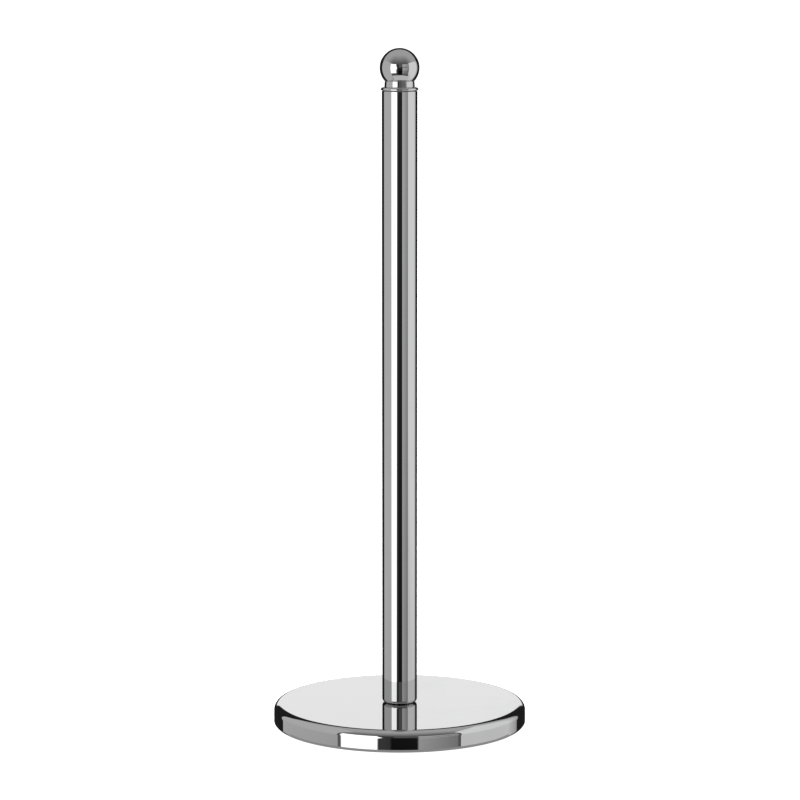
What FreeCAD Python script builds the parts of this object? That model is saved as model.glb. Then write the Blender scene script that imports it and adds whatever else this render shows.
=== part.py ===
"""Free-standing kitchen roll holder: a weighted round base, a tube and a ball finial that unscrews.

Millimetres, +Z up. The origin is the centre of the pad's underside, where the holder stands.
Every piece is turned about the Z axis. Sizes are in the sheet named Sizes, and each piece reads them by name.
"""

import FreeCAD
import Part
import Sketcher
import os

DRIVING_SIZES = {
    # base
    "base_diameter": 130.0,
    "cover_height": 11.2,
    "cover_wall": 0.6,
    "cover_edge_radius": 3.8,
    "cover_curl_radius": 1.8,
    "cover_lip_width": 4.0,
    "pad_thickness": 0.9,
    "pad_gap": 1.0,
    "pad_edge_radius": 0.3,
    "plate_thickness": 0.8,
    "plate_gap": 0.2,
    "weight_gap": 0.4,
    "weight_edge_relief": 0.2,
    "weight_chamfer": 0.6,
    # pole
    "tube_outer": 18.0,
    "tube_wall": 0.8,
    "tube_length": 315.0,
    "tube_foot_radius": 2.0,
    "tube_mouth_lip": 1.6,
    "tube_rim_radius": 0.3,
    "foot_plug_length": 15.0,
    "top_plug_length": 14.0,
    "plug_chamfer": 0.5,
    "plug_gap": 0.1,
    # screw through the base, and its washers
    "screw_diameter": 6.0,
    "screw_length": 20.0,
    "head_diameter": 10.5,
    "head_height": 3.3,
    "head_dome_radius": 2.4,
    "socket_flats": 4.0,
    "socket_depth": 2.0,
    "thread_depth": 0.6,
    "thread_gap": 0.05,
    "screw_gap": 0.3,
    "washer_diameter": 18.0,
    "washer_thickness": 1.2,
    "lock_washer_diameter": 11.8,
    "lock_washer_thickness": 1.6,
    "lock_washer_split": 1.0,
    "lock_washer_slant": 25.0,
    "counterbore_gap": 1.0,
    "head_room": 0.1,
    # finial
    "seat_thickness": 0.3,
    "flange_overhang": 0.5,
    "flange_thickness": 1.6,
    "flange_top_radius": 1.1,
    "flange_under_radius": 0.4,
    "neck_step": 1.8,
    "neck_taper": 0.2,
    "neck_height": 3.0,
    "neck_fillet": 0.2,
    "spigot_length": 2.5,
    "spigot_gap": 0.1,
    "ball_diameter": 20.1,
    "stud_length": 30.0,
    "stud_in_ball": 10.0,
    "stud_end_room": 0.5,
    "drill_point": 118.0,
}

# Radii and heights that several pieces share, as expressions on the sheet.
BASE_RADIUS = "Sizes.base_diameter / 2"
COVER_UNDER = "(Sizes.pad_thickness - Sizes.cover_wall)"
COVER_TOP = f"({COVER_UNDER} + Sizes.cover_height)"
COVER_INSIDE = f"({BASE_RADIUS} - Sizes.cover_wall)"
LIP_OPENING = f"({BASE_RADIUS} - Sizes.cover_lip_width)"
PLATE_TOP = "(Sizes.pad_thickness + Sizes.plate_thickness)"
WEIGHT_HEIGHT = f"({COVER_TOP} - Sizes.cover_wall - {PLATE_TOP})"
WEIGHT_EDGE_RADIUS = "(Sizes.cover_edge_radius - Sizes.cover_wall - Sizes.weight_gap + Sizes.weight_edge_relief)"
SCREW_HOLE = "(Sizes.screw_diameter / 2 + Sizes.screw_gap)"
THREADED_HOLE = "(Sizes.screw_diameter / 2 + Sizes.thread_gap)"
HEAD_UNDER = f"({PLATE_TOP} + Sizes.head_room)"
LOCK_WASHER_UNDER = f"({HEAD_UNDER} + Sizes.head_height)"
WASHER_UNDER = f"({LOCK_WASHER_UNDER} + Sizes.lock_washer_thickness)"
COUNTERBORE_DEPTH = f"({WASHER_UNDER} + Sizes.washer_thickness - {PLATE_TOP})"
COUNTERBORE_RADIUS = "(Sizes.washer_diameter / 2 + Sizes.counterbore_gap)"
TUBE_RADIUS = "Sizes.tube_outer / 2"
TUBE_INSIDE = f"({TUBE_RADIUS} - Sizes.tube_wall)"
TUBE_MOUTH = f"({TUBE_INSIDE} - Sizes.tube_mouth_lip)"
TUBE_TOP = f"({COVER_TOP} + Sizes.tube_length)"
SPIGOT_RADIUS = f"({TUBE_INSIDE} - Sizes.spigot_gap)"
SPIGOT_DEPTH = "(Sizes.spigot_length + Sizes.seat_thickness)"
TOP_PLUG_UNDER = f"({TUBE_TOP} - Sizes.spigot_length - Sizes.stud_end_room - Sizes.top_plug_length)"
COLLAR_UNDER = f"({TUBE_TOP} + Sizes.seat_thickness)"
COLLAR_HEIGHT = "(Sizes.flange_thickness + Sizes.neck_height)"
FLANGE_RADIUS = f"({TUBE_RADIUS} + Sizes.flange_overhang)"
NECK_FOOT = f"({FLANGE_RADIUS} - Sizes.neck_step)"
NECK_TOP = f"({NECK_FOOT} - Sizes.neck_taper)"
BALL_FLAT = f"({COLLAR_UNDER} + {COLLAR_HEIGHT})"
BALL_RADIUS = "Sizes.ball_diameter / 2"
BALL_RISE = f"sqrt(({BALL_RADIUS}) ^ 2 - {NECK_TOP} ^ 2)"
STUD_UNDER = f"({BALL_FLAT} + Sizes.stud_in_ball - Sizes.stud_length)"

doc = FreeCAD.newDocument("KitchenRollHolder")


def make_sheet():
    """The sheet of driving sizes, one named cell to a row."""
    sheet = doc.addObject("Spreadsheet::Sheet", "Sizes")
    for row, (name, value) in enumerate(DRIVING_SIZES.items(), start=1):
        sheet.set(f"A{row}", name)
        sheet.set(f"B{row}", str(value))
        sheet.setAlias(f"B{row}", name)
    doc.recompute()
    return sheet


def number(expression):
    """The value that an expression on the sheet has now."""
    result = sheet.evalExpression(expression.replace("Sizes.", ""))
    return float(getattr(result, "Value", result))


def new_body(label, height):
    """An empty body, standing at a height above the table."""
    body = doc.addObject("PartDesign::Body", label)
    body.Label = label
    body.setExpression("Placement.Base.z", height)
    return body


def plane(body, role):
    return [p for p in body.Origin.OriginFeatures if p.Role == role][0]


def new_sketch(body, name, role):
    sketch = body.newObject("Sketcher::SketchObject", name)
    sketch.AttachmentSupport = [(plane(body, role), "")]
    sketch.MapMode = "FlatFace"
    return sketch


def bind(sketch, kind, geometry, point, name, expression):
    """Dimensions one sketch point from the origin along X or Y and ties it to the sheet."""
    if expression == "0":
        axis = -2 if kind == "DistanceX" else -1
        sketch.addConstraint(Sketcher.Constraint("PointOnObject", geometry, point, axis))
        return
    value = number(expression)
    index = sketch.addConstraint(Sketcher.Constraint(kind, -1, 1, geometry, point, value))
    sketch.renameConstraint(index, name)
    sketch.setExpression(f"Constraints.{name}", expression)


def half_section(body, name, corners):
    """A closed outline of straight sides in the XZ plane. Each corner is (radius, height)."""
    sketch = new_sketch(body, name, "XZ_Plane")
    places = [FreeCAD.Vector(number(r), number(z), 0) for r, z in corners]
    count = len(places)
    for i in range(count):
        sketch.addGeometry(Part.LineSegment(places[i], places[(i + 1) % count]))
    for i in range(count):
        sketch.addConstraint(Sketcher.Constraint("Coincident", i, 2, (i + 1) % count, 1))
    for i, (radius, height) in enumerate(corners):
        bind(sketch, "DistanceX", i, 1, f"radius_{i}", radius)
        bind(sketch, "DistanceY", i, 1, f"height_{i}", height)
    return sketch


def turned(body, name, corners):
    """A solid turned about the Z axis from a half section."""
    sketch = half_section(body, name + "_section", corners)
    feature = body.newObject("PartDesign::Revolution", name)
    feature.Profile = sketch
    feature.ReferenceAxis = (sketch, ["V_Axis"])
    feature.Angle = 360
    doc.recompute()
    return feature


def circle_sketch(body, name, radii):
    """Circles about the Z axis in the XY plane, one for each radius."""
    sketch = new_sketch(body, name, "XY_Plane")
    up = FreeCAD.Vector(0, 0, 1)
    for i, radius in enumerate(radii):
        sketch.addGeometry(Part.Circle(FreeCAD.Vector(0, 0, 0), up, number(radius)))
        sketch.addConstraint(Sketcher.Constraint("Coincident", i, 3, -1, 1))
        index = sketch.addConstraint(Sketcher.Constraint("Radius", i, number(radius)))
        sketch.renameConstraint(index, f"radius_{i}")
        sketch.setExpression(f"Constraints.radius_{i}", radius)
    return sketch


def padded_up(body, name, radii, height):
    """A disc or ring standing on the XY plane."""
    feature = body.newObject("PartDesign::Pad", name)
    feature.Profile = circle_sketch(body, name + "_circles", radii)
    feature.setExpression("Length", height)
    doc.recompute()
    return feature


def pocketed_up(body, name, radius, depth):
    """A round hole cut upwards from the XY plane, checked to remove material."""
    before = body.Shape.Volume
    feature = body.newObject("PartDesign::Pocket", name)
    feature.Profile = circle_sketch(body, name + "_circle", [radius])
    feature.Reversed = True
    feature.setExpression("Length", depth)
    doc.recompute()
    if not body.Shape.Volume < before:
        raise RuntimeError(f"{name} cuts nothing")
    return feature


def ring_edges(feature, places):
    """The names of the round edges at each (radius, height) about the Z axis."""
    names = []
    for radius, height in places:
        found = [
            f"Edge{i}"
            for i, edge in enumerate(feature.Shape.Edges, start=1)
            if isinstance(edge.Curve, Part.Circle)
            and abs(edge.Curve.Radius - number(radius)) < 1e-4
            and abs(edge.Curve.Center.z - number(height)) < 1e-4
        ]
        if not found:
            raise RuntimeError(f"{feature.Name} has no round edge at {radius}, {height}")
        names += found
    return names


def rounded(body, feature, name, places, radius):
    fillet = body.newObject("PartDesign::Fillet", name)
    fillet.Base = (feature, ring_edges(feature, places))
    fillet.setExpression("Radius", radius)
    doc.recompute()
    return fillet


def chamfered(body, feature, name, places, size):
    chamfer = body.newObject("PartDesign::Chamfer", name)
    chamfer.Base = (feature, ring_edges(feature, places))
    chamfer.setExpression("Size", size)
    doc.recompute()
    return chamfer


def make_base_cover():
    """Drawn sheet cover: a flat top, a rounded edge, and a lower edge curled in under the plate."""
    body = new_body("base_cover", COVER_UNDER)
    top = "Sizes.cover_height"
    under_top = "(Sizes.cover_height - Sizes.cover_wall)"
    wall = "Sizes.cover_wall"
    shell = turned(body, "shell", [
        (SCREW_HOLE, top),
        (BASE_RADIUS, top),
        (BASE_RADIUS, "0"),
        (LIP_OPENING, "0"),
        (LIP_OPENING, wall),
        (COVER_INSIDE, wall),
        (COVER_INSIDE, under_top),
        (SCREW_HOLE, under_top),
    ])
    edge = rounded(body, shell, "top_edge", [(BASE_RADIUS, top)], "Sizes.cover_edge_radius")
    curl = rounded(body, edge, "curl", [(BASE_RADIUS, "0")], "Sizes.cover_curl_radius")
    inner_edge = rounded(
        body, curl, "top_edge_inside", [(COVER_INSIDE, under_top)],
        "Sizes.cover_edge_radius - Sizes.cover_wall",
    )
    rounded(
        body, inner_edge, "curl_inside", [(COVER_INSIDE, wall)],
        "Sizes.cover_curl_radius - Sizes.cover_wall",
    )
    return body


def make_base_weight():
    """Cast disc that fills the cover, counterbored from below for the screw and its washers."""
    body = new_body("base_weight", PLATE_TOP)
    radius = f"({COVER_INSIDE} - Sizes.weight_gap)"
    disc = padded_up(body, "disc", [radius], WEIGHT_HEIGHT)
    counterbore = pocketed_up(body, "counterbore", COUNTERBORE_RADIUS, COUNTERBORE_DEPTH)
    hole = pocketed_up(body, "screw_hole", SCREW_HOLE, WEIGHT_HEIGHT)
    edge = rounded(body, hole, "top_edge", [(radius, WEIGHT_HEIGHT)], WEIGHT_EDGE_RADIUS)
    chamfered(
        body, edge, "casting_chamfer", [(radius, "0"), (COUNTERBORE_RADIUS, "0")],
        "Sizes.weight_chamfer",
    )
    return body


def make_bottom_plate():
    """Sheet disc that closes the base and rests on the cover's curled edge."""
    body = new_body("bottom_plate", "Sizes.pad_thickness")
    radius = f"({BASE_RADIUS} - Sizes.cover_curl_radius - Sizes.plate_gap)"
    padded_up(body, "plate", [radius], "Sizes.plate_thickness")
    return body


def make_base_pad():
    """Soft non-slip disc, stuck to the plate, which the holder stands on."""
    body = new_body("base_pad", "0 mm")
    radius = f"({LIP_OPENING} - Sizes.pad_gap)"
    disc = padded_up(body, "pad", [radius], "Sizes.pad_thickness")
    rounded(body, disc, "lower_edge", [(radius, "0")], "Sizes.pad_edge_radius")
    return body


def make_pole_tube():
    """Upright tube. Its foot is turned in, and its open top takes the finial."""
    body = new_body("pole_tube", COVER_TOP)
    length = "Sizes.tube_length"
    wall = "Sizes.tube_wall"
    tube = turned(body, "tube", [
        (TUBE_MOUTH, "0"),
        (TUBE_RADIUS, "0"),
        (TUBE_RADIUS, length),
        (TUBE_INSIDE, length),
        (TUBE_INSIDE, wall),
        (TUBE_MOUTH, wall),
    ])
    foot = rounded(body, tube, "foot", [(TUBE_RADIUS, "0")], "Sizes.tube_foot_radius")
    inside = rounded(
        body, foot, "foot_inside", [(TUBE_INSIDE, wall)],
        "Sizes.tube_foot_radius - Sizes.tube_wall",
    )
    rounded(body, inside, "rim", [(TUBE_RADIUS, length)], "Sizes.tube_rim_radius")
    return body


def make_foot_plug():
    """Threaded plug fixed in the tube's foot. Its nose stands on the cover and takes the screw."""
    body = new_body("foot_plug", COVER_TOP)
    nose = f"({TUBE_MOUTH} - Sizes.plug_gap)"
    length = "Sizes.foot_plug_length"
    shoulder = "Sizes.tube_foot_radius"
    plug = turned(body, "plug", [
        (THREADED_HOLE, "0"),
        (nose, "0"),
        (nose, shoulder),
        (TUBE_INSIDE, shoulder),
        (TUBE_INSIDE, length),
        (THREADED_HOLE, length),
    ])
    chamfered(body, plug, "lead_in", [(TUBE_INSIDE, length)], "Sizes.plug_chamfer")
    return body


def make_top_plug():
    """Threaded plug fixed below the tube's rim, which holds the finial's stud."""
    body = new_body("top_plug", TOP_PLUG_UNDER)
    length = "Sizes.top_plug_length"
    plug = padded_up(body, "plug", [TUBE_INSIDE, THREADED_HOLE], length)
    chamfered(
        body, plug, "lead_in",
        [(TUBE_INSIDE, "0"), (TUBE_INSIDE, length), (THREADED_HOLE, length)],
        "Sizes.plug_chamfer",
    )
    return body


def make_pole_screw():
    """Button-head screw, head down, that clamps the base to the pole."""
    body = new_body("pole_screw", HEAD_UNDER)
    head = "Sizes.head_diameter / 2"
    shank = "Sizes.screw_diameter / 2"
    tip = "(Sizes.head_height + Sizes.screw_length)"
    screw = turned(body, "blank", [
        ("0", "0"),
        (head, "0"),
        (head, "Sizes.head_height"),
        (shank, "Sizes.head_height"),
        (shank, tip),
        ("0", tip),
    ])
    dome = rounded(body, screw, "dome", [(head, "0")], "Sizes.head_dome_radius")
    point = chamfered(body, dome, "point", [(shank, tip)], "Sizes.thread_depth")
    before = point.Shape.Volume
    socket = body.newObject("PartDesign::SubtractivePrism", "socket")
    socket.Polygon = 6
    socket.setExpression("Circumradius", "Sizes.socket_flats / sqrt(3)")
    socket.setExpression("Height", "Sizes.socket_depth")
    doc.recompute()
    if not body.Shape.Volume < before:
        raise RuntimeError("the socket cuts nothing")
    return body


def make_flat_washer():
    """Wide washer that spreads the screw's load on the weight."""
    body = new_body("flat_washer", WASHER_UNDER)
    padded_up(body, "washer", ["Sizes.washer_diameter / 2", SCREW_HOLE], "Sizes.washer_thickness")
    return body


def make_lock_washer():
    """Spring washer, pressed flat, with its slanting split."""
    body = new_body("lock_washer", LOCK_WASHER_UNDER)
    outer = "Sizes.lock_washer_diameter / 2"
    ring = padded_up(body, "ring", [outer, SCREW_HOLE], "Sizes.lock_washer_thickness")
    split = body.newObject("PartDesign::SubtractiveBox", "split")
    split.setExpression("Length", "Sizes.lock_washer_diameter")
    split.setExpression("Width", "Sizes.lock_washer_split")
    split.setExpression("Height", "Sizes.lock_washer_diameter")
    split.setExpression("AttachmentOffset.Base.z", "-Sizes.lock_washer_diameter / 2")
    slant = FreeCAD.Rotation(FreeCAD.Vector(1, 0, 0), number("Sizes.lock_washer_slant"))
    split.AttachmentOffset = FreeCAD.Placement(split.AttachmentOffset.Base, slant)
    split.setExpression("AttachmentOffset.Rotation.Angle", "Sizes.lock_washer_slant")
    doc.recompute()
    if not body.Shape.Volume < ring.Shape.Volume:
        raise RuntimeError("the split cuts nothing")
    return body


def make_seat_washer():
    """Thin plastic ring between the tube's rim and the collar."""
    body = new_body("seat_washer", TUBE_TOP)
    outer = f"({TUBE_RADIUS} - Sizes.tube_rim_radius)"
    padded_up(body, "ring", [outer, f"({SPIGOT_RADIUS} + Sizes.thread_gap)"], "Sizes.seat_thickness")
    return body


def make_finial_collar():
    """Collar under the ball: a spigot in the tube, a rounded flange and a slightly flared neck."""
    body = new_body("finial_collar", COLLAR_UNDER)
    flange_top = "Sizes.flange_thickness"
    spigot_end = f"-{SPIGOT_DEPTH}"
    collar = turned(body, "collar", [
        (SCREW_HOLE, spigot_end),
        (SPIGOT_RADIUS, spigot_end),
        (SPIGOT_RADIUS, "0"),
        (FLANGE_RADIUS, "0"),
        (FLANGE_RADIUS, flange_top),
        (NECK_FOOT, flange_top),
        (NECK_TOP, COLLAR_HEIGHT),
        (SCREW_HOLE, COLLAR_HEIGHT),
    ])
    under = rounded(body, collar, "flange_under", [(FLANGE_RADIUS, "0")], "Sizes.flange_under_radius")
    top = rounded(body, under, "flange_top", [(FLANGE_RADIUS, flange_top)], "Sizes.flange_top_radius")
    root = rounded(body, top, "neck_root", [(NECK_FOOT, flange_top)], "Sizes.neck_fillet")
    chamfered(body, root, "lead_in", [(SPIGOT_RADIUS, spigot_end)], "Sizes.plug_chamfer")
    return body


def make_finial_ball():
    """Solid ball, cut flat to sit on the collar, with a blind threaded hole for the stud."""
    ball = doc.addObject("Part::Sphere", "ball")
    ball.setExpression("Radius", BALL_RADIUS)
    ball.setExpression("Angle1", f"-acos({NECK_TOP} / ({BALL_RADIUS}))")
    drill = doc.addObject("Part::Cylinder", "drill")
    drill.setExpression("Radius", "Sizes.screw_diameter / 2")
    drill.setExpression("Height", "Sizes.stud_in_ball")
    drill.setExpression("Placement.Base.z", f"-{BALL_RISE}")
    drill_tip = doc.addObject("Part::Cone", "drill_tip")
    drill_tip.setExpression("Radius1", "Sizes.screw_diameter / 2")
    drill_tip.Radius2 = 0
    drill_tip.setExpression("Height", "Sizes.screw_diameter / 2 * tan(90 - Sizes.drill_point / 2)")
    drill_tip.setExpression("Placement.Base.z", f"Sizes.stud_in_ball - {BALL_RISE}")
    hole = doc.addObject("Part::Fuse", "drilled")
    hole.Base = drill
    hole.Tool = drill_tip
    finial = doc.addObject("Part::Cut", "finial_ball")
    finial.Base = ball
    finial.Tool = hole
    finial.Label = "finial_ball"
    finial.setExpression("Placement.Base.z", f"{BALL_FLAT} + {BALL_RISE}")
    doc.recompute()
    return finial


def make_finial_stud():
    """Threaded stud, fixed in the ball, that screws into the plug below the rim."""
    body = new_body("finial_stud", STUD_UNDER)
    radius = "Sizes.screw_diameter / 2"
    length = "Sizes.stud_length"
    stud = padded_up(body, "stud", [radius], length)
    chamfered(body, stud, "points", [(radius, "0"), (radius, length)], "Sizes.thread_depth")
    return body


def check(parts):
    """Stops if any object failed, or a sub-part is not one or more valid closed solids."""
    for thing in doc.Objects:
        if "Invalid" in thing.State or "Error" in thing.State:
            raise RuntimeError(f"{thing.Name} failed: {thing.State}")
    for part in parts:
        shape = part.Shape
        if shape.isNull() or not shape.isValid() or not shape.Solids:
            raise RuntimeError(f"{part.Label} is not a valid solid")


sheet = make_sheet()
parts = [
    make_base_pad(),
    make_bottom_plate(),
    make_base_cover(),
    make_base_weight(),
    make_pole_screw(),
    make_lock_washer(),
    make_flat_washer(),
    make_foot_plug(),
    make_pole_tube(),
    make_top_plug(),
    make_seat_washer(),
    make_finial_collar(),
    make_finial_ball(),
    make_finial_stud(),
]
doc.recompute()
check(parts)
os.makedirs("parts", exist_ok=True)
for part in parts:
    part.Shape.exportStep(f"parts/{part.Label}.step")
    box = part.Shape.BoundBox
    print(f"{part.Label}: z {box.ZMin:.2f} to {box.ZMax:.2f}, across {box.XLength:.2f}, "
          f"volume {part.Shape.Volume:.1f}")
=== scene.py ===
import math

import bmesh
import bpy
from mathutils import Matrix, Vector


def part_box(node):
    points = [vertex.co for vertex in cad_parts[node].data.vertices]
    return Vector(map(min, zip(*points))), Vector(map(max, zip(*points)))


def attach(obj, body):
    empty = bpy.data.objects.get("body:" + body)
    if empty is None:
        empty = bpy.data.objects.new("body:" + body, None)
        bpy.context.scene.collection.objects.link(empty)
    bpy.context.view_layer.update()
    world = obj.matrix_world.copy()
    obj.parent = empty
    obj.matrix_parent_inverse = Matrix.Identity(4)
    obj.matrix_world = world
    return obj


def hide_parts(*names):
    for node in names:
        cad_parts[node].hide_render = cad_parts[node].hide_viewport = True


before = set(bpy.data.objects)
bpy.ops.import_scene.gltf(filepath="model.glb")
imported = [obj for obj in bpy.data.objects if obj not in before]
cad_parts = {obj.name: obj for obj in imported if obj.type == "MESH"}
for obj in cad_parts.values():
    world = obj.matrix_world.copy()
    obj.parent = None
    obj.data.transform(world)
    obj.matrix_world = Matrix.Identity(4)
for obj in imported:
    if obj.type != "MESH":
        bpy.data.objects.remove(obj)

# Kitchen roll holder: a weighted round base, a tube and a ball finial that unscrews.
# Metres, +Z up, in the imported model's own frame. The camera stands on the -Y side.

mm = 0.001
scene = bpy.context.scene
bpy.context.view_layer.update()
print("frame loaded:", ", ".join(sorted(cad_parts)))


def addNode(tree, kind, inputs=None, **settings):
    node = tree.nodes.new(kind)
    for name, value in settings.items():
        setattr(node, name, value)
    for name, value in (inputs or {}).items():
        plug(tree, value, node.inputs[name])
    return node


def plug(tree, value, socket):
    # links a socket, or sets a plain value
    if isinstance(value, bpy.types.NodeSocket):
        tree.links.new(value, socket)
    else:
        socket.default_value = value


def calc(tree, operation, first, second=None, third=None, clamp=False):
    node = addNode(tree, "ShaderNodeMath", operation=operation, use_clamp=clamp)
    for value, socket in zip((first, second, third), node.inputs):
        if value is not None:
            plug(tree, value, socket)
    return node.outputs[0]


def ramp(tree, value, low, high, lowOut=0.0, highOut=1.0, smooth=False):
    kind = "SMOOTHSTEP" if smooth else "LINEAR"
    inputs = {"Value": value, "From Min": low, "From Max": high, "To Min": lowOut, "To Max": highOut}
    return addNode(tree, "ShaderNodeMapRange", inputs, interpolation_type=kind).outputs[0]


def blendNumber(tree, share, first, second):
    node = addNode(tree, "ShaderNodeMix", data_type="FLOAT")
    for value, socket in zip((share, first, second), (node.inputs[0], node.inputs[2], node.inputs[3])):
        plug(tree, value, socket)
    return node.outputs[0]


def blendColour(tree, share, first, second):
    node = addNode(tree, "ShaderNodeMix", data_type="RGBA")
    for value, socket in zip((share, first, second), (node.inputs[0], node.inputs[6], node.inputs[7])):
        plug(tree, value, socket)
    return node.outputs[2]


def grey(level):
    return (level, level, level, 1.0)


def addObject(name, data):
    thing = bpy.data.objects.new(name, data)
    scene.collection.objects.link(thing)
    return thing


def startMaterial(name):
    made = bpy.data.materials.new(name)
    made.use_nodes = True
    made.node_tree.nodes.clear()
    return made


def placeOn(tree):
    return addNode(tree, "ShaderNodeTexCoord").outputs["Object"]


def aroundAxis(tree):
    # a point, and its radius, angle and height about the pole's axis
    place = placeOn(tree)
    split = addNode(tree, "ShaderNodeSeparateXYZ", {"Vector": place})
    x, y, z = split.outputs
    squared = calc(tree, "MULTIPLY_ADD", x, x, calc(tree, "MULTIPLY", y, y))
    return place, calc(tree, "SQRT", squared), calc(tree, "ARCTAN2", y, x), z


def noiseOf(tree, vector, scale, detail=2.0, roughness=0.5):
    inputs = {"Vector": vector, "Scale": scale, "Detail": detail, "Roughness": roughness}
    return addNode(tree, "ShaderNodeTexNoise", inputs).outputs["Fac"]


def joined(tree, x, y, z):
    return addNode(tree, "ShaderNodeCombineXYZ", {"X": x, "Y": y, "Z": z}).outputs[0]


def closeMaterial(tree, colour, roughness, height, bumpDepth, metallic=1.0, fixed=None):
    # Principled shader with a bump of real depth, in metres
    bump = addNode(tree, "ShaderNodeBump", {"Strength": 1.0, "Distance": bumpDepth, "Height": height})
    inputs = {"Base Color": colour, "Roughness": roughness, "Metallic": metallic, "Normal": bump.outputs[0]}
    shader = addNode(tree, "ShaderNodeBsdfPrincipled", {**inputs, **(fixed or {})})
    addNode(tree, "ShaderNodeOutputMaterial", {"Surface": shader.outputs[0]})


# In the finishes a noise is (scale, detail, roughness), and a ramp is (from, to) or (from, to, first, last)
mirrorFinish = {
    "bright": (0.565, 0.565, 0.570, 1.0),
    "dull": (0.530, 0.531, 0.538, 1.0),
    "dullShare": 0.6,
    "roughness": (0.022, 0.075),
    "hairlineRoughness": 0.015,
    "hairlineDepth": 0.0000006,
    "hairlineRamp": (0.35, 0.75),
    "drawnStretch": 9.0,
    "drawnNoise": (3.0, 3.0),
    "ringsPerMetre": 900.0,
    "ringNoise": (1.0, 4.0, 0.65),
    "waveNoise": (55.0, 1.0),
    "waveHeight": 6.0,
    "smudgeNoise": (26.0, 4.0, 0.6),
    "smudgeRamp": (0.52, 0.74),
}


def mirrorSteel(name, lengthwise):
    # polished metal. Its hairlines run along a drawn tube, and round a turned or spun piece
    made = startMaterial(name)
    tree = made.node_tree
    place, radius, angle, height = aroundAxis(tree)
    if lengthwise:
        sideways = calc(tree, "MULTIPLY", angle, mirrorFinish["drawnStretch"])
        hairlines = noiseOf(tree, joined(tree, sideways, height, 0.0), *mirrorFinish["drawnNoise"])
    else:
        outwards = calc(tree, "MULTIPLY", radius, mirrorFinish["ringsPerMetre"])
        upwards = calc(tree, "MULTIPLY", height, mirrorFinish["ringsPerMetre"])
        hairlines = noiseOf(tree, joined(tree, outwards, upwards, angle), *mirrorFinish["ringNoise"])
    waves = noiseOf(tree, place, *mirrorFinish["waveNoise"])
    smudges = noiseOf(tree, place, *mirrorFinish["smudgeNoise"])
    smudged = ramp(tree, smudges, *mirrorFinish["smudgeRamp"], smooth=True)
    lines = ramp(tree, hairlines, *mirrorFinish["hairlineRamp"])
    roughness = ramp(tree, smudged, 0.0, 1.0, *mirrorFinish["roughness"])
    roughness = calc(tree, "MULTIPLY_ADD", lines, mirrorFinish["hairlineRoughness"], roughness)
    dulled = calc(tree, "MULTIPLY", smudged, mirrorFinish["dullShare"])
    colour = blendColour(tree, dulled, mirrorFinish["bright"], mirrorFinish["dull"])
    relief = calc(tree, "MULTIPLY_ADD", waves, mirrorFinish["waveHeight"], hairlines)
    closeMaterial(tree, colour, roughness, relief, mirrorFinish["hairlineDepth"])
    return made


ironFinish = {
    "dark": (0.020, 0.020, 0.022, 1.0),
    "light": (0.075, 0.072, 0.070, 1.0),
    "rust": (0.085, 0.035, 0.015, 1.0),
    "rustShare": 0.6,
    "metallic": 0.85,
    "roughnessRamp": (0.2, 0.8, 0.72, 0.50),
    "grainNoise": (1500.0, 6.0, 0.7),
    "grainRamp": (0.3, 0.7),
    "grainDepth": 0.00012,
    "rustNoise": (90.0, 3.0),
    "rustRamp": (0.58, 0.72),
    "rustGrain": (0.45, 0.6),
    "pitsPerMetre": 420.0,
    "pitRamp": (0.0, 0.25),
    "pitShare": 0.5,
}


def castIron(name):
    # sand-cast grey iron: coarse grain, darker pits and a few rusty specks
    made = startMaterial(name)
    tree = made.node_tree
    place = placeOn(tree)
    grain = noiseOf(tree, place, *ironFinish["grainNoise"])
    patches = noiseOf(tree, place, *ironFinish["rustNoise"])
    inputs = {"Vector": place, "Scale": ironFinish["pitsPerMetre"]}
    pits = addNode(tree, "ShaderNodeTexVoronoi", inputs).outputs["Distance"]
    shade = ramp(tree, grain, *ironFinish["grainRamp"])
    colour = blendColour(tree, shade, ironFinish["dark"], ironFinish["light"])
    rusty = calc(tree, "MULTIPLY", ramp(tree, patches, *ironFinish["rustRamp"]),
                 ramp(tree, grain, *ironFinish["rustGrain"]))
    rusty = calc(tree, "MULTIPLY", rusty, ironFinish["rustShare"])
    colour = blendColour(tree, rusty, colour, ironFinish["rust"])
    relief = calc(tree, "MULTIPLY_ADD", ramp(tree, pits, *ironFinish["pitRamp"]), ironFinish["pitShare"], grain)
    roughness = ramp(tree, grain, *ironFinish["roughnessRamp"])
    closeMaterial(tree, colour, roughness, relief, ironFinish["grainDepth"], ironFinish["metallic"])
    return made


sheetFinish = {
    "light": (0.56, 0.56, 0.575, 1.0),
    "dark": (0.40, 0.40, 0.415, 1.0),
    "grainStretch": (70.0, 2600.0, 2600.0),
    "grainNoise": (1.0, 3.0),
    "grainRamp": (0.3, 0.7),
    "grainRoughness": 0.08,
    "grainDepth": 0.000004,
    "stainNoise": (45.0, 3.0),
    "stainRamp": (0.55, 0.8, 0.0, 0.5),
    "roughnessRamp": (0.3, 0.7, 0.34, 0.26),
}


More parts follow.
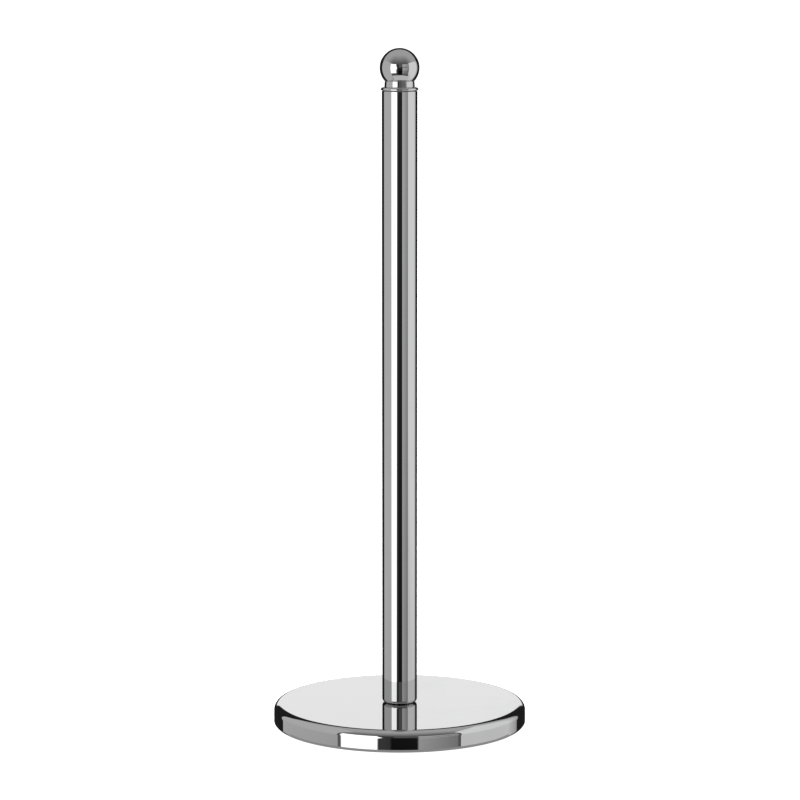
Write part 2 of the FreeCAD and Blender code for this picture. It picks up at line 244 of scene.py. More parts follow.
def rolledSheet(name):
    # cold-rolled sheet: a fine straight grain in one direction, and faint oil stains
    made = startMaterial(name)
    tree = made.node_tree
    place = placeOn(tree)
    inputs = {"Vector": place, "Scale": sheetFinish["grainStretch"]}
    grainPlace = addNode(tree, "ShaderNodeMapping", inputs).outputs[0]
    grain = noiseOf(tree, grainPlace, *sheetFinish["grainNoise"])
    stains = noiseOf(tree, place, *sheetFinish["stainNoise"])
    light, dark = sheetFinish["light"], sheetFinish["dark"]
    colour = blendColour(tree, ramp(tree, grain, *sheetFinish["grainRamp"]), dark, light)
    colour = blendColour(tree, ramp(tree, stains, *sheetFinish["stainRamp"]), colour, dark)
    roughness = ramp(tree, stains, *sheetFinish["roughnessRamp"])
    roughness = calc(tree, "MULTIPLY_ADD", grain, sheetFinish["grainRoughness"], roughness)
    closeMaterial(tree, colour, roughness, grain, sheetFinish["grainDepth"])
    return made


zincFinish = {
    "silver": (0.66, 0.69, 0.72, 1.0),
    "blue": (0.50, 0.58, 0.70, 1.0),
    "straw": (0.70, 0.66, 0.52, 1.0),
    "tintNoise": (160.0, 2.0),
    "blueRamp": (0.50, 0.75, 0.0, 0.7),
    "strawRamp": (0.45, 0.25, 0.0, 0.5),
    "spotNoise": (900.0, 4.0, 0.6),
    "spotDepth": 0.000004,
    "roughnessRamp": (0.3, 0.7, 0.17, 0.30),
}


def zincPlate(name):
    # bright zinc plating with the faint blue and straw tints of its passive layer
    made = startMaterial(name)
    tree = made.node_tree
    place = placeOn(tree)
    tints = noiseOf(tree, place, *zincFinish["tintNoise"])
    spots = noiseOf(tree, place, *zincFinish["spotNoise"])
    bluish = ramp(tree, tints, *zincFinish["blueRamp"])
    colour = blendColour(tree, bluish, zincFinish["silver"], zincFinish["blue"])
    colour = blendColour(tree, ramp(tree, tints, *zincFinish["strawRamp"]), colour, zincFinish["straw"])
    roughness = ramp(tree, spots, *zincFinish["roughnessRamp"])
    closeMaterial(tree, colour, roughness, spots, zincFinish["spotDepth"])
    return made


turnedFinish = {
    "light": (0.62, 0.62, 0.63, 1.0),
    "dark": (0.44, 0.44, 0.455, 1.0),
    "groovesPerMetre": 5200.0,
    "grooveDepth": 0.000012,
    "wobbleNoise": (220.0, 2.0),
    "wobble": 5.0,
    "patchNoise": (120.0, 3.0),
    "roughnessRamp": (0.3, 0.7, 0.24, 0.36),
}


def turnedSteel(name):
    # plain steel from the lathe, with fine tool marks round its axis
    made = startMaterial(name)
    tree = made.node_tree
    place, radius, _, height = aroundAxis(tree)
    across = calc(tree, "ADD", radius, height)
    turns = calc(tree, "MULTIPLY", across, turnedFinish["groovesPerMetre"] * 2 * math.pi)
    drift = noiseOf(tree, place, *turnedFinish["wobbleNoise"])
    grooves = calc(tree, "SINE", calc(tree, "MULTIPLY_ADD", drift, turnedFinish["wobble"], turns))
    patches = noiseOf(tree, place, *turnedFinish["patchNoise"])
    colour = blendColour(tree, ramp(tree, grooves, -1.0, 1.0), turnedFinish["dark"], turnedFinish["light"])
    roughness = ramp(tree, patches, *turnedFinish["roughnessRamp"])
    closeMaterial(tree, colour, roughness, grooves, turnedFinish["grooveDepth"])
    return made


padFinish = {
    "base": (0.018, 0.018, 0.019, 1.0),
    "worn": (0.042, 0.042, 0.044, 1.0),
    "cellsPerMetre": 1800.0,
    "cellDepth": 0.00006,
    "scuffNoise": (60.0, 5.0, 0.65),
    "scuffRamp": (0.5, 0.8),
    "scuffHeight": 0.4,
    "roughnessRamp": (0.0, 0.6, 0.82, 0.94),
    "specular": 0.35,
}


def foamRubber(name):
    # closed-cell non-slip foam: small even cells, a little paler where it is scuffed
    made = startMaterial(name)
    tree = made.node_tree
    place = placeOn(tree)
    inputs = {"Vector": place, "Scale": padFinish["cellsPerMetre"]}
    cells = addNode(tree, "ShaderNodeTexVoronoi", inputs, feature="SMOOTH_F1").outputs["Distance"]
    scuffs = noiseOf(tree, place, *padFinish["scuffNoise"])
    scuffed = ramp(tree, scuffs, *padFinish["scuffRamp"])
    colour = blendColour(tree, scuffed, padFinish["base"], padFinish["worn"])
    roughness = ramp(tree, cells, *padFinish["roughnessRamp"])
    relief = calc(tree, "MULTIPLY_ADD", scuffs, padFinish["scuffHeight"], cells)
    fixed = {"Specular IOR Level": padFinish["specular"]}
    closeMaterial(tree, colour, roughness, relief, padFinish["cellDepth"], 0.0, fixed)
    return made


plasticFinish = {
    "dark": grey(0.016),
    "light": grey(0.032),
    "grainNoise": (2200.0, 3.0),
    "grainRamp": (0.35, 0.7),
    "grainDepth": 0.00002,
    "roughnessRamp": (0.3, 0.7, 0.42, 0.58),
}


def washerPlastic(name):
    # dark nylon with a fine moulded grain
    made = startMaterial(name)
    tree = made.node_tree
    grain = noiseOf(tree, placeOn(tree), *plasticFinish["grainNoise"])
    shade = ramp(tree, grain, *plasticFinish["grainRamp"])
    colour = blendColour(tree, shade, plasticFinish["dark"], plasticFinish["light"])
    roughness = ramp(tree, grain, *plasticFinish["roughnessRamp"])
    closeMaterial(tree, colour, roughness, grain, plasticFinish["grainDepth"], 0.0)
    return made


finishes = {
    "tubePolish": mirrorSteel("tubePolish", True),
    "turnedPolish": mirrorSteel("turnedPolish", False),
    "castIron": castIron("castIron"),
    "rolledSheet": rolledSheet("rolledSheet"),
    "zincPlate": zincPlate("zincPlate"),
    "turnedSteel": turnedSteel("turnedSteel"),
    "foamRubber": foamRubber("foamRubber"),
    "washerPlastic": washerPlastic("washerPlastic"),
}
print("materials:", len(finishes))


def outline(corners, arcSteps=10):
    # (radius, height, rounding) corners in millimetres become (x, z) points in metres
    points = []
    for i, (x, z, rounding) in enumerate(corners):
        corner = Vector((x, z))
        if not rounding:
            points.append(corner * mm)
            continue
        before = (Vector(corners[i - 1][:2]) - corner).normalized()
        after = (Vector(corners[(i + 1) % len(corners)][:2]) - corner).normalized()
        half = before.angle(after) / 2
        centre = corner + (before + after).normalized() * (rounding / math.sin(half))
        start = corner + before * (rounding / math.tan(half)) - centre
        sweep = start.angle_signed(corner + after * (rounding / math.tan(half)) - centre)
        for step in range(arcSteps + 1):
            turn = -sweep * step / arcSteps
            cos, sin = math.cos(turn), math.sin(turn)
            arm = Vector((start.x * cos - start.y * sin, start.x * sin + start.y * cos))
            points.append((centre + arm) * mm)
    return points


def profileObject(name, lines, closed):
    # the half section as mesh lines in the XZ plane
    points, edges = [], []
    for line in lines:
        first = len(points)
        points += [(x, 0.0, z) for x, z in line]
        edges += [(i, i + 1) for i in range(first, len(points) - 1)]
        if closed:
            edges.append((len(points) - 1, first))
    mesh = bpy.data.meshes.new(name)
    mesh.from_pydata(points, edges, [])
    return addObject(name, mesh)


def startTree(name, sockets):
    tree = bpy.data.node_groups.new(name, "GeometryNodeTree")
    tree.interface.new_socket("Geometry", in_out="OUTPUT", socket_type="NodeSocketGeometry")
    tree.interface.new_socket("Geometry", in_out="INPUT", socket_type="NodeSocketGeometry")
    for label, kind in sockets.items():
        tree.interface.new_socket(label, in_out="INPUT", socket_type=kind)
    return tree, addNode(tree, "NodeGroupInput").outputs


def closeTree(tree, geometry, material, weld=0.000002):
    welded = addNode(tree, "GeometryNodeMergeByDistance", {"Geometry": geometry, "Distance": weld})
    real = addNode(tree, "GeometryNodeRealizeInstances", {"Geometry": welded.outputs[0]})
    final = addNode(tree, "GeometryNodeSetMaterial", {"Geometry": real.outputs[0], "Material": material})
    addNode(tree, "NodeGroupOutput", {"Geometry": final.outputs[0]})
    return tree


def sweptProfile(tree, lines, segments):
    # the half section laid flat for the sweep: x counts outwards from the path, and y downwards
    place = addNode(tree, "GeometryNodeInputPosition").outputs[0]
    split = addNode(tree, "ShaderNodeSeparateXYZ", {"Vector": place})
    section = addNode(tree, "GeometryNodeMeshToCurve", {"Mesh": lines})
    pathRadius = 1.0
    outwards = calc(tree, "SUBTRACT", split.outputs[0], pathRadius)
    flat = joined(tree, outwards, calc(tree, "MULTIPLY", split.outputs[2], -1.0), 0.0)
    laid = addNode(tree, "GeometryNodeSetPosition", {"Geometry": section.outputs[0], "Position": flat})
    path = addNode(tree, "GeometryNodeCurvePrimitiveCircle", {"Resolution": segments, "Radius": pathRadius})
    inputs = {"Curve": path.outputs[0], "Profile Curve": laid.outputs[0]}
    return addNode(tree, "GeometryNodeCurveToMesh", inputs).outputs[0]


def sweepTree():
    # turns the object's own half section once round the Z axis
    sockets = {"Segments": "NodeSocketInt", "Material": "NodeSocketMaterial"}
    tree, given = startTree("turnedShape", sockets)
    swept = sweptProfile(tree, given["Geometry"], given["Segments"])
    return closeTree(tree, swept, given["Material"])


# one turn of the thread, in shares of its pitch
threadForm = {"crestFlat": 0.125, "flank": 0.3125, "rootFlat": 0.25}


def threadTree():
    # turned faces from the object's own lines, and a right-handed thread between them
    sizes = ("Foot", "Length", "Pitch", "Outer Radius", "Inner Radius", "End Radius", "Phase")
    sockets = {"Segments": "NodeSocketInt", **{size: "NodeSocketFloat" for size in sizes},
               "Material": "NodeSocketMaterial"}
    tree, given = startTree("threadedShape", sockets)
    foot, length, pitch, outer, inner, end, phase = [given[size] for size in sizes]
    rowsPerTurn = 4
    spareTurns = 2
    turns = calc(tree, "CEIL", calc(tree, "ADD", calc(tree, "DIVIDE", length, pitch), spareTurns))
    rows = calc(tree, "MULTIPLY", turns, rowsPerTurn)
    columns = calc(tree, "ADD", given["Segments"], 1)
    inputs = {"Size X": 1.0, "Size Y": 1.0, "Vertices X": columns, "Vertices Y": calc(tree, "ADD", rows, 1)}
    grid = addNode(tree, "GeometryNodeMeshGrid", inputs)
    place = addNode(tree, "GeometryNodeInputPosition").outputs[0]
    split = addNode(tree, "ShaderNodeSeparateXYZ", {"Vector": place})
    around = calc(tree, "ADD", split.outputs[0], 0.5)
    row = calc(tree, "ROUND", calc(tree, "MULTIPLY", calc(tree, "ADD", split.outputs[1], 0.5), rows))
    turn = calc(tree, "FLOOR", calc(tree, "DIVIDE", calc(tree, "ADD", row, 0.5), rowsPerTurn))
    step = calc(tree, "SUBTRACT", row, calc(tree, "MULTIPLY", turn, rowsPerTurn))
    # rows 0 and 1 of a turn carry the crest, rows 2 and 3 the root
    along = turn
    for number, share in enumerate(("crestFlat", "flank", "rootFlat")):
        past = calc(tree, "GREATER_THAN", step, number + 0.5)
        along = calc(tree, "MULTIPLY_ADD", past, threadForm[share], along)
    rise = calc(tree, "SUBTRACT", calc(tree, "ADD", calc(tree, "ADD", along, around), phase), spareTurns)
    rise = calc(tree, "MINIMUM", calc(tree, "MAXIMUM", calc(tree, "MULTIPLY", rise, pitch), 0.0), length)
    # the thread fades into the end radius at 45 degrees
    nearEnd = calc(tree, "MINIMUM", rise, calc(tree, "SUBTRACT", length, rise))
    radius = blendNumber(tree, calc(tree, "GREATER_THAN", step, 1.5), outer, inner)
    radius = calc(tree, "MAXIMUM", radius, calc(tree, "SUBTRACT", end, nearEnd))
    radius = calc(tree, "MINIMUM", radius, calc(tree, "ADD", end, nearEnd))
    angle = calc(tree, "MULTIPLY", around, 2 * math.pi)
    x = calc(tree, "MULTIPLY", radius, calc(tree, "COSINE", angle))
    y = calc(tree, "MULTIPLY", radius, calc(tree, "SINE", angle))
    inputs = {"Geometry": grid.outputs[0], "Position": joined(tree, x, y, calc(tree, "ADD", foot, rise))}
    moved = addNode(tree, "GeometryNodeSetPosition", inputs)
    both = addNode(tree, "GeometryNodeJoinGeometry")
    tree.links.new(moved.outputs[0], both.inputs[0])
    tree.links.new(sweptProfile(tree, given["Geometry"], given["Segments"]), both.inputs[0])
    return closeTree(tree, both.outputs[0], given["Material"])


turnedShape = sweepTree()
threadedShape = threadTree()


def applyTree(thing, tree, values):
    # runs a tree on an object, keeps the result as a plain mesh and removes the modifier
    modifier = thing.modifiers.new(tree.name, "NODES")
    modifier.node_group = tree
    for item in tree.interface.items_tree:
        if item.in_out == "INPUT" and item.name in values:
            modifier[item.identifier] = values[item.name]
    graph = bpy.context.evaluated_depsgraph_get()
    made = bpy.data.meshes.new_from_object(thing.evaluated_get(graph))
    made.materials.clear()
    made.materials.append(values["Material"])
    thing.modifiers.clear()
    thing.data = made
    return thing


def finishMesh(thing, sharpAngle=30.0):
    # faces outwards, crisp corners, and smooth shading that keeps flats flat
    work = bmesh.new()
    work.from_mesh(thing.data)
    bmesh.ops.recalc_face_normals(work, faces=work.faces)
    work.to_mesh(thing.data)
    work.free()
    thing.data.shade_smooth()
    thing.data.set_sharp_from_angle(angle=math.radians(sharpAngle))
    weighted = thing.modifiers.new("weightedNormals", "WEIGHTED_NORMAL")
    weighted.keep_sharp = True
    return thing


def turnedPiece(name, corners, material, closed=True, segments=256, arcSteps=10):
    thing = profileObject(name, [outline(corners, arcSteps)], closed)
    applyTree(thing, turnedShape, {"Segments": segments, "Material": material})
    return finishMesh(thing)


threadSizes = {"pitch": 1.0, "depth": 0.6, "play": 0.05, "segments": 64}


def threadedPiece(name, lines, material, foot, top, outer, phase=0.0, bore=False):
    # a rod's thread shrinks to its root at both ends, and a bore's opens out
    inner = outer - threadSizes["depth"] + (threadSizes["play"] if bore else 0.0)
    outer = outer + (threadSizes["play"] if bore else 0.0)
    end = outer if bore else inner
    thing = profileObject(name, [outline(line) for line in lines(end)], False)
    values = {"Segments": threadSizes["segments"], "Foot": foot * mm, "Length": (top - foot) * mm,
              "Pitch": threadSizes["pitch"] * mm, "Outer Radius": outer * mm, "Inner Radius": inner * mm,
              "End Radius": end * mm, "Phase": phase % 1.0, "Material": material}
    return finishMesh(applyTree(thing, threadedShape, values))


def standsFor(thing, node, body):
    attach(thing, body)
    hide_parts(node)
    print(node, "-", len(thing.data.polygons), "faces")


def sizesOf(node):
    # a CAD node's inner box in millimetres: radius, lowest and highest point
    low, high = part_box(node)
    return high.x / mm, low.z / mm, high.z / mm


coverSizes = {
    "wall": 0.6, "topRounding": 3.8, "curl": 1.8, "lipWidth": 4.0, "lipRounding": 0.2, "hole": 3.3,
    "arcSteps": 16,
}


def makeBaseCover():
    radius, low, high = sizesOf("base_cover")
    wall = coverSizes["wall"]
    lip = radius - coverSizes["lipWidth"]
    corners = [
        (coverSizes["hole"], high, 0),
        (radius, high, coverSizes["topRounding"]),
        (radius, low, coverSizes["curl"]),
        (lip, low, coverSizes["lipRounding"]),
        (lip, low + wall, coverSizes["lipRounding"]),
        (radius - wall, low + wall, coverSizes["curl"] - wall),
        (radius - wall, high - wall, coverSizes["topRounding"] - wall),
        (coverSizes["hole"], high - wall, 0),
    ]
    cover = turnedPiece("baseCover", corners, finishes["turnedPolish"], arcSteps=coverSizes["arcSteps"])
    standsFor(cover, "base_cover", "holder")


padSizes = {"edgeRounding": 0.3, "segments": 128}


def makeBasePad():
    radius, low, high = sizesOf("base_pad")
    corners = [(0, low, 0), (radius, low, padSizes["edgeRounding"]), (radius, high, 0), (0, high, 0)]
    pad = turnedPiece("basePad", corners, finishes["foamRubber"], False, padSizes["segments"])
    standsFor(pad, "base_pad", "holder")


makeBaseCover()
makeBasePad()


tubeSizes = {
    "wall": 0.8, "footRounding": 2.0, "mouthLip": 1.6, "rimRounding": 0.3, "innerRimRounding": 0.1,
    "arcSteps": 12,
}


def makePoleTube():
    radius, low, high = sizesOf("pole_tube")
    wall = tubeSizes["wall"]
    mouth = radius - wall - tubeSizes["mouthLip"]
    corners = [
        (mouth, low, 0),
        (radius, low, tubeSizes["footRounding"]),
        (radius, high, tubeSizes["rimRounding"]),
        (radius - wall, high, tubeSizes["innerRimRounding"]),
        (radius - wall, low + wall, tubeSizes["footRounding"] - wall),
        (mouth, low + wall, 0),
    ]
    tube = turnedPiece("poleTube", corners, finishes["tubePolish"], arcSteps=tubeSizes["arcSteps"])
    standsFor(tube, "pole_tube", "holder")


makePoleTube()


collarSizes = {
    "bore": 3.3, "spigotGap": 0.1, "leadIn": 0.5, "flangeThickness": 1.6, "flangeTopRounding": 1.1,
    "flangeUnderRounding": 0.4, "neckStep": 1.8, "neckTaper": 0.2, "neckRounding": 0.2,
    "segments": 192, "arcSteps": 12,
}


def makeFinialCollar():
    flange, low, high = sizesOf("finial_collar")
    tubeRadius = sizesOf("pole_tube")[0]
    seat = sizesOf("seat_washer")[2]
    spigot = tubeRadius - tubeSizes["wall"] - collarSizes["spigotGap"]
    flangeTop = seat + collarSizes["flangeThickness"]
    neckFoot = flange - collarSizes["neckStep"]
    leadIn = collarSizes["leadIn"]
    corners = [
        (collarSizes["bore"], low, 0),
        (spigot - leadIn, low, 0),
        (spigot, low + leadIn, 0),
        (spigot, seat, 0),
        (flange, seat, collarSizes["flangeUnderRounding"]),
        (flange, flangeTop, collarSizes["flangeTopRounding"]),
        (neckFoot, flangeTop, collarSizes["neckRounding"]),
        (neckFoot - collarSizes["neckTaper"], high, 0),
        (collarSizes["bore"], high, 0),
    ]
    steps = (collarSizes["segments"], collarSizes["arcSteps"])
    collar = turnedPiece("finialCollar", corners, finishes["turnedPolish"], True, *steps)
    standsFor(collar, "finial_collar", "collar")


seatSizes = {"width": 0.55, "rounding": 0.1, "segments": 128, "arcSteps": 4}


def makeSeatWasher():
    outer, low, high = sizesOf("seat_washer")
    inner, rounding = outer - seatSizes["width"], seatSizes["rounding"]
    corners = [(inner, low, 0), (outer, low, rounding), (outer, high, rounding), (inner, high, 0)]
    steps = (seatSizes["segments"], seatSizes["arcSteps"])
    ring = turnedPiece("seatWasher", corners, finishes["washerPlastic"], True, *steps)
    standsFor(ring, "seat_washer", "collar")


ballSizes = {"hole": 3.0, "holeDepth": 10.0, "drillPoint": 118.0, "segments": 192, "arcSteps": 96}


def makeFinialBall():
    radius, low, high = sizesOf("finial_ball")
    centre = high - radius
    flat = math.sqrt(radius ** 2 - (centre - low) ** 2)
    start = math.atan2(low - centre, flat)
    hole = ballSizes["hole"]
    holeTop = low + ballSizes["holeDepth"]
    tip = holeTop + hole / math.tan(math.radians(ballSizes["drillPoint"] / 2))
    corners = [(0, tip, 0), (hole, holeTop, 0), (hole, low, 0)]
    for step in range(ballSizes["arcSteps"] + 1):
        angle = start + (math.pi / 2 - start) * step / ballSizes["arcSteps"]
        corners.append((radius * math.cos(angle), centre + radius * math.sin(angle), 0))
    ball = turnedPiece("finialBall", corners, finishes["turnedPolish"], False, ballSizes["segments"])
    standsFor(ball, "finial_ball", "finial")


makeFinialCollar()
makeSeatWasher()
makeFinialBall()


studSizes = {"radius": 3.0}


def makeFinialStud():
    low, high = sizesOf("finial_stud")[1:]

    def ends(root):
        return [[(0, low, 0), (root, low, 0)], [(root, high, 0), (0, high, 0)]]

    stud = threadedPiece("finialStud", ends, finishes["zincPlate"], low, high, studSizes["radius"])
    standsFor(stud, "finial_stud", "finial")


screwSizes = {
    "radius": 3.0, "headHeight": 3.3, "domeRounding": 2.4, "edgeRounding": 0.25, "socketFlats": 4.0,
    "socketDepth": 2.0, "socketSides": 6,
}


def cutSocket(screw, low):
    # a hexagonal socket sunk into the head from below
    cutter = bpy.data.meshes.new("socketCutter")
    work = bmesh.new()
    depth = 2 * screwSizes["socketDepth"] * mm
    sides = screwSizes["socketSides"]
    corner = screwSizes["socketFlats"] / 2 / math.cos(math.pi / sides) * mm
    bmesh.ops.create_cone(work, cap_ends=True, segments=sides, radius1=corner, radius2=corner, depth=depth)
    bmesh.ops.translate(work, verts=work.verts, vec=(0, 0, low * mm))
    work.to_mesh(cutter)
    work.free()
    hexagon = addObject("socketCutter", cutter)
    modifier = screw.modifiers.new("socket", "BOOLEAN")
    modifier.object = hexagon
    modifier.operation = "DIFFERENCE"
    modifier.solver = "EXACT"
    graph = bpy.context.evaluated_depsgraph_get()
    made = bpy.data.meshes.new_from_object(screw.evaluated_get(graph))
    screw.modifiers.clear()
    screw.data = made
    bpy.data.objects.remove(hexagon)
    return finishMesh(screw)


def makePoleScrew():
    head, low, high = sizesOf("pole_screw")
    under = low + screwSizes["headHeight"]
    dome, edge = screwSizes["domeRounding"], screwSizes["edgeRounding"]

    def ends(root):
        return [[(0, low, 0), (head, low, dome), (head, under, edge), (root, under, 0)],
                [(root, high, 0), (0, high, 0)]]

    screw = threadedPiece("poleScrew", ends, finishes["zincPlate"], under, high, screwSizes["radius"])
    screw.modifiers.clear()
    standsFor(cutSocket(screw, low), "pole_screw", "holder")
    return under


plugSizes = {"chamfer": 0.5, "noseGap": 0.1}


def makeTopPlug():
    radius, low, high = sizesOf("top_plug")
    chamfer = plugSizes["chamfer"]

    def faces(bore):
        return [[(bore, low, 0), (radius - chamfer, low, 0), (radius, low + chamfer, 0),
                 (radius, high - chamfer, 0), (radius - chamfer, high, 0), (bore, high, 0)]]

    phase = (sizesOf("finial_stud")[1] - low) / threadSizes["pitch"]
    bore = studSizes["radius"]
    turned = threadedPiece("topPlug", faces, finishes["turnedSteel"], low, high, bore, phase, True)
    standsFor(turned, "top_plug", "holder")


def makeFootPlug(screwFoot):
    # its nose fills the tube's turned-in mouth
    radius, low, high = sizesOf("foot_plug")
    chamfer = plugSizes["chamfer"]
    nose = radius - tubeSizes["mouthLip"] - plugSizes["noseGap"]
    shoulder = low + tubeSizes["footRounding"]

    def faces(bore):
        return [[(bore, low, 0), (nose, low, 0), (nose, shoulder, 0), (radius, shoulder, 0),
                 (radius, high - chamfer, 0), (radius - chamfer, high, 0), (bore, high, 0)]]

    phase = (screwFoot - low) / threadSizes["pitch"]
    bore = screwSizes["radius"]
    turned = threadedPiece("footPlug", faces, finishes["turnedSteel"], low, high, bore, phase, True)
    standsFor(turned, "foot_plug", "holder")


makeFinialStud()
makeTopPlug()
makeFootPlug(makePoleScrew())

keptNodes = {
    "base_weight": "castIron",
    "bottom_plate": "rolledSheet",
    "lock_washer": "zincPlate",
    "flat_washer": "zincPlate",
}
for node, finish in keptNodes.items():
    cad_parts[node].data.materials.clear()
    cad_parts[node].data.materials.append(finishes[finish])
print("kept CAD nodes:", ", ".join(keptNodes))


# Angles in degrees about the holder: azimuth 0 is the camera's side and 90 is +X. Brightness is linear,
# left to right. "dims" is (from, to, share): below "to" the panel loses brightness, by that share at "from".
studioPanels = {
    "floorGlow": {"azimuth": (-181, 181), "elevation": (-91, -42), "brightness": (0.76, 0.76)},
    "frontGap": {"azimuth": (-62, 62), "elevation": (-42, 24), "brightness": (0.15, 0.13)},
    "softbox": {"azimuth": (-54.6, -14.8), "elevation": (-28, 21.5), "brightness": (2.15, 2.05),
        "leanRight": 0.36},
    "cameraSideGrey": {"azimuth": (-14.8, -5), "elevation": (-42, 21.5),
        "brightness": (0.06, 0.045), "leanLeft": 0.36},
    "cameraSideBlack": {"azimuth": (-8, 17), "elevation": (-40, 3), "brightness": (0.022, 0.03),
        "dims": (-16, -6, 0.75)},
    "greyScreen": {"azimuth": (17, 54.8), "elevation": (-32, 21.5), "brightness": (0.66, 0.38),
        "dims": (-20, -5, 0.45)},
    "screenBar": {"azimuth": (17, 47), "elevation": (1.5, 6), "brightness": (0.18, 0.22)},
}
studioTones = {
    "ceiling": 0.56,
    "frontCeiling": 0.11,
    "blackSurround": 0.018,
    "backdrop": 1.14,
    "backFloor": 0.95,
    "edge": 1.0,
    "leanLimit": 14.0,
}

# Where the studio changes, in degrees. The black surround is narrower above the holder than beside it
studioAngles = {
    "ceilingFades": (80, 22),
    "frontFades": (95, 35),
    "surroundRise": (15, 45),
    "surroundReach": (59, 48),
    "backdropFoot": (4, 7),
    "backdropRim": (20, 18),
    "backFloorTop": (-14, -18),
    "backFloorSide": (24, 18),
}


def panelMask(tree, panel, azimuth, elevation):
    # 1 inside the panel and 0 outside. A leaning edge moves sideways away from the horizon
    (left, right), (low, high) = panel["azimuth"], panel["elevation"]
    edge = studioTones["edge"]
    away = calc(tree, "MINIMUM", calc(tree, "ABSOLUTE", elevation), studioTones["leanLimit"])
    leftSide = calc(tree, "MULTIPLY_ADD", away, panel.get("leanLeft", 0.0), azimuth)
    rightSide = calc(tree, "MULTIPLY_ADD", away, panel.get("leanRight", 0.0), azimuth)
    mask = calc(tree, "MULTIPLY", ramp(tree, leftSide, left - edge, left + edge, smooth=True),
                ramp(tree, rightSide, right - edge, right + edge, 1.0, 0.0, smooth=True))
    upright = calc(tree, "MULTIPLY", ramp(tree, elevation, low - edge, low + edge, smooth=True),
                   ramp(tree, elevation, high - edge, high + edge, 1.0, 0.0, smooth=True))
    return calc(tree, "MULTIPLY", mask, upright)


def studioWorld():
    world = bpy.data.worlds.new("studio")
    world.use_nodes = True
    tree = world.node_tree
    tree.nodes.clear()
    direction = addNode(tree, "ShaderNodeTexCoord").outputs["Generated"]
    split = addNode(tree, "ShaderNodeSeparateXYZ", {"Vector": direction})
    x, y, z = split.outputs
    degrees = 180 / math.pi
    azimuth = calc(tree, "MULTIPLY", calc(tree, "ARCTAN2", x, calc(tree, "MULTIPLY", y, -1.0)), degrees)
    elevation = calc(tree, "MULTIPLY", calc(tree, "ARCSINE", z), degrees)
    # overhead light that falls off low down on the camera's side
    lowDown = ramp(tree, elevation, *studioAngles["ceilingFades"])
    inFront = ramp(tree, calc(tree, "ABSOLUTE", azimuth), *studioAngles["frontFades"], smooth=True)
    fallOff = calc(tree, "MULTIPLY", lowDown, inFront)
    light = ramp(tree, fallOff, 0, 1, studioTones["ceiling"], studioTones["frontCeiling"])
    for panel in studioPanels.values():
        shade = ramp(tree, azimuth, *panel["azimuth"], *panel["brightness"])
        if "dims" in panel:
            low, high, share = panel["dims"]
            shade = calc(tree, "MULTIPLY", shade, ramp(tree, elevation, low, high, 1 - share, 1.0))
        light = blendNumber(tree, panelMask(tree, panel, azimuth, elevation), light, shade)
    # behind the holder: a black surround with a pale backdrop in its middle
    offBack = calc(tree, "MULTIPLY", calc(tree, "ARCCOSINE", y), degrees)
    reach = ramp(tree, elevation, *studioAngles["surroundRise"], *studioAngles["surroundReach"])
    inside = calc(tree, "SUBTRACT", reach, offBack)
    surrounded = ramp(tree, inside, -studioTones["edge"], studioTones["edge"], smooth=True)
    light = blendNumber(tree, surrounded, light, studioTones["blackSurround"])
    raised = calc(tree, "MULTIPLY", ramp(tree, elevation, *studioAngles["backdropFoot"], smooth=True),
                  ramp(tree, offBack, *studioAngles["backdropRim"], smooth=True))
    light = blendNumber(tree, raised, light, studioTones["backdrop"])
    # and the lit floor that runs up to the backdrop
    offMiddle = calc(tree, "SUBTRACT", 180.0, calc(tree, "ABSOLUTE", azimuth))
    floorStrip = calc(tree, "MULTIPLY", ramp(tree, elevation, *studioAngles["backFloorTop"], smooth=True),
                      ramp(tree, offMiddle, *studioAngles["backFloorSide"], smooth=True))
    light = blendNumber(tree, floorStrip, light, studioTones["backFloor"])
    background = addNode(tree, "ShaderNodeBackground", {"Color": light})
    addNode(tree, "ShaderNodeOutputWorld", {"Surface": background.outputs[0]})
    scene.world = world


def glowMaterial(name, brightness):
    made = startMaterial(name)
    shader = addNode(made.node_tree, "ShaderNodeEmission", {"Color": grey(1.0), "Strength": brightness})
    addNode(made.node_tree, "ShaderNodeOutputMaterial", {"Surface": shader.outputs[0]})
    return made


def showOnlyTo(thing, camera=False, glossy=False):
    thing.visible_camera = camera
    thing.visible_glossy = glossy
    thing.visible_diffuse = False
    thing.visible_transmission = False
    thing.visible_shadow = False


# A grey card close on the left and a lighter one on the right, seen only in the polish.
# Each end is (x, y, top), and a card is dimmer low down and towards its back end
sideCards = {
    "leftCard": {"front": (-0.320, -0.237, 0.52), "back": (-0.199, 0.109, 0.43),
                 "brightness": 0.66, "backDims": 0.0},
    "rightCard": {"front": (0.875, -0.593, 0.80), "back": (0.266, 0.184, 0.43),
                  "brightness": 1.04, "backDims": 0.5},
}
cardShape = {"low": -0.30, "dimFrom": 0.03, "dimTo": -0.08, "dims": 0.18, "dimLength": 0.08}


def cardGlow(name, card):
    made = startMaterial(name)
    tree = made.node_tree
    _, y, z = addNode(tree, "ShaderNodeSeparateXYZ", {"Vector": placeOn(tree)}).outputs
    backEnd = card["back"][1]
    low = ramp(tree, z, cardShape["dimTo"], cardShape["dimFrom"], 1 - cardShape["dims"], 1.0)
    back = ramp(tree, y, backEnd - cardShape["dimLength"], backEnd, 1.0, 1 - card["backDims"])
    glow = calc(tree, "MULTIPLY", calc(tree, "MULTIPLY", low, back), card["brightness"])
    shader = addNode(tree, "ShaderNodeEmission", {"Color": grey(1.0), "Strength": glow})
    addNode(tree, "ShaderNodeOutputMaterial", {"Surface": shader.outputs[0]})
    return made


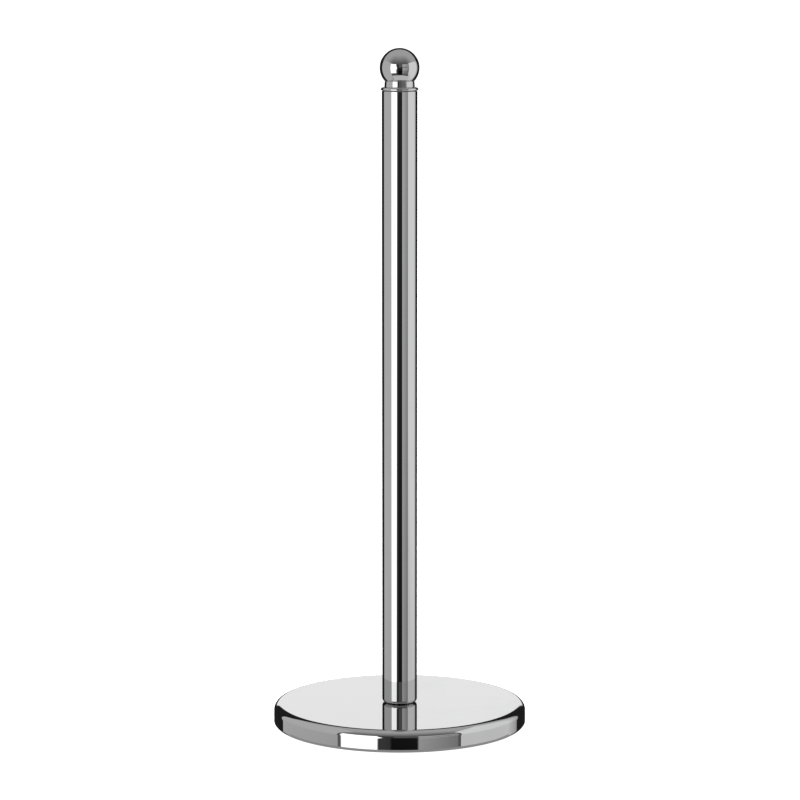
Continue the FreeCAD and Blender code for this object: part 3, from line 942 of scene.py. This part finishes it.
def makeSideCards():
    for name, card in sideCards.items():
        mesh = bpy.data.meshes.new(name)
        low = cardShape["low"]
        front, back = card["front"], card["back"]
        mesh.from_pydata([(*front[:2], low), (*back[:2], low), back, front], [], [(0, 1, 2, 3)])
        mesh.materials.append(cardGlow(name, card))
        thing = addObject(name, mesh)
        showOnlyTo(thing, glossy=True)


footShade = {"radius": 0.0705, "height": 0.0001, "frontOf": -0.03, "brightness": 0.42, "segments": 96}


def makeFootShade():
    # painted shadow: a dim glowing disc for the base's shadow on the floor right under its rim, seen only in
    # the polish
    mesh = bpy.data.meshes.new("footShade")
    work = bmesh.new()
    bmesh.ops.create_circle(work, cap_ends=True, segments=footShade["segments"], radius=footShade["radius"])
    bmesh.ops.translate(work, verts=work.verts, vec=(0, 0, footShade["height"]))
    bmesh.ops.bisect_plane(work, geom=work.verts[:] + work.edges[:] + work.faces[:],
                           plane_co=(0, footShade["frontOf"], 0), plane_no=(0, 1, 0), clear_outer=True)
    work.to_mesh(mesh)
    work.free()
    mesh.materials.append(glowMaterial("footShade", footShade["brightness"]))
    thing = addObject("footShade", mesh)
    showOnlyTo(thing, glossy=True)


floorSizes = {"radius": 3.0, "segments": 96, "whiteness": 0.92, "roughness": 0.9, "glow": 0.95}
shellSizes = {"radius": 2.98, "segments": 48, "rings": 24, "brightness": 1.3}


def makeFloor():
    # plain white floor and a round white wall behind it, which only the camera sees
    floorMesh = bpy.data.meshes.new("floor")
    work = bmesh.new()
    bmesh.ops.create_circle(work, cap_ends=True, segments=floorSizes["segments"], radius=floorSizes["radius"])
    work.to_mesh(floorMesh)
    work.free()
    material = startMaterial("floorWhite")
    inputs = {"Base Color": grey(floorSizes["whiteness"]), "Roughness": floorSizes["roughness"],
              "Specular IOR Level": 0.0, "Emission Color": grey(1.0), "Emission Strength": floorSizes["glow"]}
    shader = addNode(material.node_tree, "ShaderNodeBsdfPrincipled", inputs)
    addNode(material.node_tree, "ShaderNodeOutputMaterial", {"Surface": shader.outputs[0]})
    floorMesh.materials.append(material)
    floor = addObject("floor", floorMesh)
    floor.visible_glossy = False

    shellMesh = bpy.data.meshes.new("whiteShell")
    work = bmesh.new()
    bmesh.ops.create_uvsphere(work, u_segments=shellSizes["segments"], v_segments=shellSizes["rings"],
                              radius=shellSizes["radius"])
    work.to_mesh(shellMesh)
    work.free()
    shellMesh.materials.append(glowMaterial("shellGlow", shellSizes["brightness"]))
    shell = addObject("whiteShell", shellMesh)
    showOnlyTo(shell, camera=True)


softLight = {"size": 1.6, "height": 1.5, "watts": 26.0}


def makeSoftLight():
    # broad overhead light for the floor and the dull pieces
    data = bpy.data.lights.new("overhead", "AREA")
    data.shape = "SQUARE"
    data.size = softLight["size"]
    data.energy = softLight["watts"]
    light = addObject("overhead", data)
    light.location = (0, 0, softLight["height"])
    light.visible_glossy = False


cameraPlace = {
    "side": 0.0002, "distance": 1.657, "height": 0.4065, "pitch": -8.155, "lens": 147.45, "sensor": 36.0,
    "nearest": 0.01,
}


def makeCamera():
    data = bpy.data.cameras.new("camera")
    data.lens = cameraPlace["lens"]
    data.sensor_width = cameraPlace["sensor"]
    data.clip_start = cameraPlace["nearest"]
    camera = addObject("camera", data)
    camera.location = (cameraPlace["side"], -cameraPlace["distance"], cameraPlace["height"])
    camera.rotation_euler = (math.radians(90 + cameraPlace["pitch"]), 0, 0)
    scene.camera = camera


studioWorld()
makeSideCards()
makeFootShade()
makeFloor()
makeSoftLight()
makeCamera()
scene.view_settings.view_transform = "Standard"
print("studio and camera ready")
